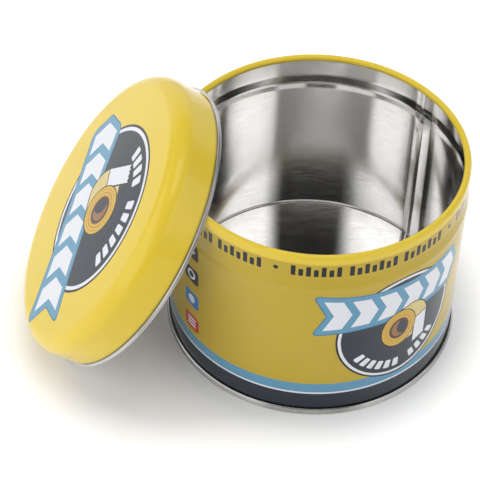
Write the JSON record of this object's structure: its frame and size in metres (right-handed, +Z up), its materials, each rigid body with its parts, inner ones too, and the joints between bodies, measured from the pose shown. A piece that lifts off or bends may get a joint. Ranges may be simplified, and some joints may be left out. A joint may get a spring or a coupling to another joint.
{
  "type": "round metal tin with slip lid",
  "caption": "Round tinplate tin with a curled rim, stepped neck and double-seamed bottom; its slip-on lid is off and leans on the rim.",
  "frame": {"origin": "centre of the tin's standing ring, on the ground", "axes": "+Z up along the tin's axis; the lid leans on the rim from the -X side, so the plane Y = 0 halves both pieces"},
  "size_m": [0.193, 0.13, 0.1139],
  "materials": {
    "printed_tinplate": "gloss lacquered yellow print on tinplate",
    "bare_tinplate": "bright bare tinplate with a fine rolled grain"
  },
  "bodies": {
    "tin": {"body_shell": "printed_tinplate", "bottom_end": "bare_tinplate"},
    "lid": {"lid_shell": "printed_tinplate"}
  },
  "joints": [
    {"name": "lid_lift", "type": "slide", "parent": "tin", "child": "lid", "axis": [-0.8192, 0, 0.5736], "range_m": [0, 0.12]}
  ]
}
